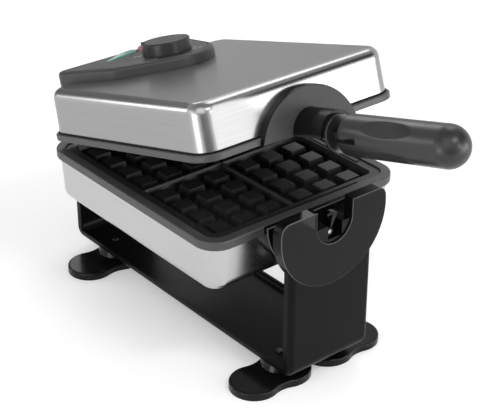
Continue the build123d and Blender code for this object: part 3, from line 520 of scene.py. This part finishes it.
def pressHollows(bm, s, start):
    mid = start - s["hollowFrom"]
    step = 360 / s["hollows"]
    for v in bm.verts:
        radius = math.hypot(v.co.x, v.co.z)
        angle = math.degrees(math.atan2(v.co.z, -v.co.x)) - s["firstAt"]
        off = math.radians((angle + step / 2) % step - step / 2)
        near = ((v.co.y - mid) / s["hollowHalf"]) ** 2 + (radius * off / s["hollowWide"]) ** 2
        if near < 1:
            sunk = 1 - s["hollowDeep"] * (1 - near) / radius
            v.co.x *= sunk
            v.co.z *= sunk


def slotCutter(s, radius, fold):  # runs out of the end and of one side, round the fold pin
    bm = bmesh.new()
    wide = 2 * radius
    half = s["slotHalf"]
    high = s["slotHigh"]
    runs = [((half - wide, fold + radius, 0), (2 * wide, wide, high)),
            ((-radius, fold, 0), (wide, 2 * half, high))]
    for at, size in runs:
        bmesh.ops.create_cube(bm, size=1.0, matrix=Matrix.Translation(at) @ Matrix.Diagonal((*size, 1)))
    bmesh.ops.create_cone(bm, cap_ends=True, segments=s["slotSides"], radius1=half, radius2=half, depth=high,
                          matrix=Matrix.Translation((0, fold, 0)))
    bmesh.ops.translate(bm, verts=bm.verts, vec=(0, 0, s["slotLift"]))
    return bm


def cutAway(bm, cutter):
    blank = toObject("gripBlank", toMesh("gripBlank", bm))
    tool = toObject("slotTool", toMesh("slotTool", cutter))
    cut = blank.modifiers.new("slot", "BOOLEAN")
    cut.operation = "DIFFERENCE"
    cut.solver = "EXACT"
    cut.use_self = True  # the cutter's runs overlap
    cut.object = tool
    mesh = bpy.data.meshes.new_from_object(blank.evaluated_get(bpy.context.evaluated_depsgraph_get()))
    done = bmesh.new()
    done.from_mesh(mesh)
    bpy.data.meshes.remove(mesh)
    for solid in (blank, tool):
        bpy.data.meshes.remove(solid.data)
    return done


def makeGrip(s):
    low, high = shutBox("grip")
    radius = (high.x - low.x) / 2
    fold = (lidUnturn @ Vector(joints["grip_fold"]["pos_m"])).y
    bm = bmesh.new()
    gripProfile(bm, s, radius, high.y, low.y)
    bmesh.ops.spin(bm, geom=bm.verts[:] + bm.edges[:], cent=(0, 0, 0), axis=(0, 1, 0), angle=2 * math.pi,
                   steps=s["round"], use_merge=True)
    bmesh.ops.remove_doubles(bm, verts=bm.verts, dist=s["weld"])
    bmesh.ops.recalc_face_normals(bm, faces=bm.faces)
    pressHollows(bm, s, high.y)
    bm = cutAway(bm, slotCutter(s, radius, fold))
    place = lidTurn @ Matrix.Translation((0, 0, (low.z + high.z) / 2))
    piece = addPiece("foldingGrip", bm, place, gripBlack, "grip", s["sharp"])
    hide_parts("grip")


makeGrip(gripShape)
print("grip turned, hollowed and slotted")

# lamp lenses that swell out of the panel, the green one drawn out to a tail
lensMould = {"around": 40, "rows": 24, "taper": 0.7, "rise": 0.0026, "sharp": 60.0}
lensShapes = {
    "readyLens": {"node": "ready_lens", "slot": "lens_green", "mat": lensGreen, "half": 0.0262,
                  "wide": 0.0062, "high": 0.0046, "tail": 0.24, "turn": 17.8},
    "powerLens": {"node": "power_lens", "slot": "lens_red", "mat": lensRed, "half": 0.0062,
                  "wide": 0.0050, "high": 0.0046, "tail": 1.0, "turn": 0.0},
}


def makeLens(name, s):
    low, high = shutBox(s["node"])
    bm = bmesh.new()
    bmesh.ops.create_uvsphere(bm, u_segments=lensMould["around"], v_segments=lensMould["rows"], radius=1.0)
    for v in bm.verts:
        along = max(0.0, (v.co.x + 1) / 2)
        narrow = s["tail"] + (1 - s["tail"]) * along ** lensMould["taper"]
        v.co = (v.co.x * s["half"], v.co.y * s["wide"] * narrow, v.co.z * s["high"] * narrow)
    middle = (low + high) / 2
    middle.z = high.z - lensMould["rise"]  # the panel's face, under the lens's top
    turn = Matrix.Rotation(math.radians(s["turn"]), 4, "Z")
    place = lidTurn @ Matrix.Translation(middle) @ turn
    piece = addPiece(name, bm, place, s["mat"], "lid", lensMould["sharp"])
    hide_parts(s["node"])


for lensName, lensShape in lensShapes.items():
    makeLens(lensName, lensShape)
print("lenses set in")

# white paper floor, lifted where it is seen; the far floor stays white
paper = {"half": 12.0, "dark": (0.8865, 0.8865, 0.8865), "light": (0.9, 0.9, 0.9), "darkAt": 0.2,
         "lightAt": 0.8, "cloud": 3.0, "detail": 2.0, "rough": 0.9, "specular": 0.1, "nearLift": 0.3,
         "farLift": 0.75, "near": 0.7, "far": 3.0}


def mirroredRays(tree):
    path = tree.nodes.new("ShaderNodeLightPath").outputs
    return path, maths(tree, "MAXIMUM", path["Is Glossy Ray"], path["Is Transmission Ray"])


def paperFinish(s):
    mat, tree, shader = newFinish("palePaper")
    shader.inputs["Roughness"].default_value = s["rough"]
    shader.inputs["Specular IOR Level"].default_value = s["specular"]
    shader.inputs["Emission Color"].default_value = (1, 1, 1, 1)
    cloud = noise(tree, coords(tree), s["cloud"], s["detail"])
    colour = ramp(tree, cloud, s["darkAt"], s["lightAt"], s["dark"], s["light"])
    tree.links.new(colour, shader.inputs["Base Color"])
    path, mirrored = mirroredRays(tree)
    seen = maths(tree, "MAXIMUM", path["Is Camera Ray"], mirrored)
    away = tree.nodes.new("ShaderNodeVectorMath")
    away.operation = "LENGTH"
    tree.links.new(coords(tree), away.inputs[0])
    paler = spread(tree, away.outputs["Value"], s["nearLift"], s["farLift"], s["near"], s["far"])
    tree.links.new(maths(tree, "MULTIPLY", seen, paler), shader.inputs["Emission Strength"])
    return mat


def sheetMesh(name, place):
    bm = bmesh.new()
    flatSheet(bm, place)
    return toMesh(name, bm)


def makeFloor(s):
    mesh = sheetMesh("studioFloor", Matrix.Diagonal((s["half"], s["half"], 1, 1)))
    mesh.materials.append(paperFinish(s))
    toObject("studioFloor", mesh)


# room that lights the object and shows in its gloss, white walls under a darker ceiling
room = {"wall": 1.0, "ceiling": 0.4, "wallUpTo": 0.18, "ceilingFrom": 0.9, "fill": 0.55, "inGloss": 1.0}


def makeWorld(s):
    world = bpy.data.worlds.new("studioRoom")
    world.use_nodes = True
    scene.world = world
    tree = world.node_tree
    back = tree.nodes["Background"]
    height = splitUp(tree, tree.nodes.new("ShaderNodeTexCoord").outputs["Generated"])["Z"]
    shade = ramp(tree, height, s["wallUpTo"], s["ceilingFrom"], [s["wall"]] * 3, [s["ceiling"]] * 3)
    tree.links.new(shade, back.inputs["Color"])
    path, mirrored = mirroredRays(tree)
    tree.links.new(spread(tree, mirrored, s["fill"], s["inGloss"]), back.inputs["Strength"])
    plain = tree.nodes.new("ShaderNodeBackground")  # what the camera sees past the floor
    plain.inputs["Color"].default_value = (1, 1, 1, 1)
    mix = tree.nodes.new("ShaderNodeMixShader")
    tree.links.new(path["Is Camera Ray"], mix.inputs["Fac"])
    tree.links.new(back.outputs["Background"], mix.inputs[1])
    tree.links.new(plain.outputs["Background"], mix.inputs[2])
    tree.links.new(mix.outputs["Shader"], tree.nodes["World Output"].inputs["Surface"])


# lights and cards are turned to the middle of the object
aimAt = Vector((0, 0.03, 0.17))
softBoxes = {
    "keyBox": {"at": (-1.3, -0.9, 1.8), "wide": 1.8, "high": 1.8, "power": 13.0},
    "leftBox": {"at": (-1.9, 0.5, 0.75), "wide": 1.2, "high": 0.8, "power": 3.4},
    "leftLowBox": {"at": (-1.5, -0.2, 0.22), "wide": 0.6, "high": 0.36, "power": 4.0},
    "frontLowBox": {"at": (1.0, -1.5, 0.34), "wide": 1.3, "high": 0.6, "power": 12.0},
    "frontBox": {"at": (0.35, -2.1, 0.95), "wide": 0.5, "high": 0.5, "power": 6.0},
    "topFrontBox": {"at": (0.0, -1.35, 1.75), "wide": 0.6, "high": 0.35, "power": 10.0},
    "topBox": {"at": (0.9, 0.55, 1.6), "wide": 0.8, "high": 0.8, "power": 6.0},
    "rearBox": {"at": (0.9, 1.95, 1.3), "wide": 0.8, "high": 0.4, "power": 4.0},
    "rearLeftBox": {"at": (-1.15, 1.6, 0.5), "wide": 0.5, "high": 0.45, "power": 4.0},
}


def makeLight(name, s):
    light = bpy.data.lights.new(name, "AREA")
    light.energy = s["power"]
    light.shape = "RECTANGLE"
    light.size = s["wide"]
    light.size_y = s["high"]
    lamp = toObject(name, light)
    lamp.location = s["at"]
    lamp.rotation_euler = (aimAt - Vector(s["at"])).to_track_quat("-Z", "Y").to_euler()


# cards that only gloss shows, for the dark lines on bent steel
cards = {
    "rearCard": {"at": (0.95, 1.85, 0.25), "wide": 2.2, "high": 0.9, "shade": 0.52},
    "rearLeftCard": {"at": (0.0, 1.8, 0.5), "wide": 1.6, "high": 1.1, "shade": 0.26},
    "frontCard": {"at": (-0.85, -1.35, 0.2), "wide": 1.2, "high": 0.55, "shade": 0.03},
    "upperCard": {"at": (0.95, -0.97, 1.18), "wide": 1.5, "high": 0.6, "shade": 0.02},
}
cardPaint = {"darker": 0.95, "specular": 0.1, "roughLow": 0.8, "roughHigh": 0.9, "cloud": 4.0, "grain": 60.0,
             "bump": 0.02}


def addCard(name, place, mat):
    mesh = sheetMesh(name, place)
    mesh.materials.append(mat)
    card = toObject(name, mesh)
    card.visible_camera = False
    card.visible_diffuse = False
    card.visible_shadow = False


def makeCard(name, s):
    turn = (aimAt - Vector(s["at"])).to_track_quat("Z", "Y").to_matrix().to_4x4()
    shape = Matrix.Diagonal((s["wide"] / 2, s["high"] / 2, 1, 1))
    tones = {"dark": [s["shade"] * cardPaint["darker"]] * 3, "light": [s["shade"]] * 3}
    addCard(name, Matrix.Translation(s["at"]) @ turn @ shape, plainFinish(name, {**cardPaint, **tones}))


# white card close beside the handle, so that the lid's front mirrors white there; clear from behind
handleCard = {"at": (-0.026, -0.3125, 0.3), "long": 0.435, "high": 0.24, "white": 2.6}


def makeHandleCard(s):
    mat, tree, shader = newFinish("handleCard")
    tree.nodes.remove(shader)
    white = tree.nodes.new("ShaderNodeEmission")
    white.inputs["Strength"].default_value = s["white"]
    clear = tree.nodes.new("ShaderNodeBsdfTransparent")
    side = tree.nodes.new("ShaderNodeNewGeometry")
    mix = tree.nodes.new("ShaderNodeMixShader")
    tree.links.new(side.outputs["Backfacing"], mix.inputs["Fac"])
    tree.links.new(white.outputs["Emission"], mix.inputs[1])
    tree.links.new(clear.outputs["BSDF"], mix.inputs[2])
    tree.links.new(mix.outputs["Shader"], tree.nodes["Material Output"].inputs["Surface"])
    shape = Matrix.Diagonal((s["high"] / 2, s["long"] / 2, 1, 1))
    turn = Matrix.Rotation(math.radians(-90), 4, "Y")  # faces the left
    addCard("handleCard", Matrix.Translation(s["at"]) @ turn @ shape, mat)


makeFloor(paper)
makeWorld(room)
for boxName, softBox in softBoxes.items():
    makeLight(boxName, softBox)
for cardName, card in cards.items():
    makeCard(cardName, card)
makeHandleCard(handleCard)
print("floor and light set")

# the eye stands where the photograph was taken from; angles in degrees, lens and sensor in millimetres
photoEye = {"at": (-0.79993, -0.95669, 0.82615), "tilt": 61.31, "roll": -0.2271, "heading": -39.3974,
            "lens": 101.75, "sensor": 36.0}


def makeCamera(s):
    cam = bpy.data.cameras.new("photoEye")
    cam.lens = s["lens"]
    cam.sensor_width = s["sensor"]
    cam.sensor_fit = "HORIZONTAL"
    eye = toObject("photoEye", cam)
    turn = Euler([math.radians(s[k]) for k in ("tilt", "roll", "heading")], "XYZ").to_matrix().to_4x4()
    eye.matrix_world = Matrix.Translation(s["at"]) @ turn
    scene.camera = eye


makeCamera(photoEye)
scene.view_settings.view_transform = "Standard"
print("camera set")
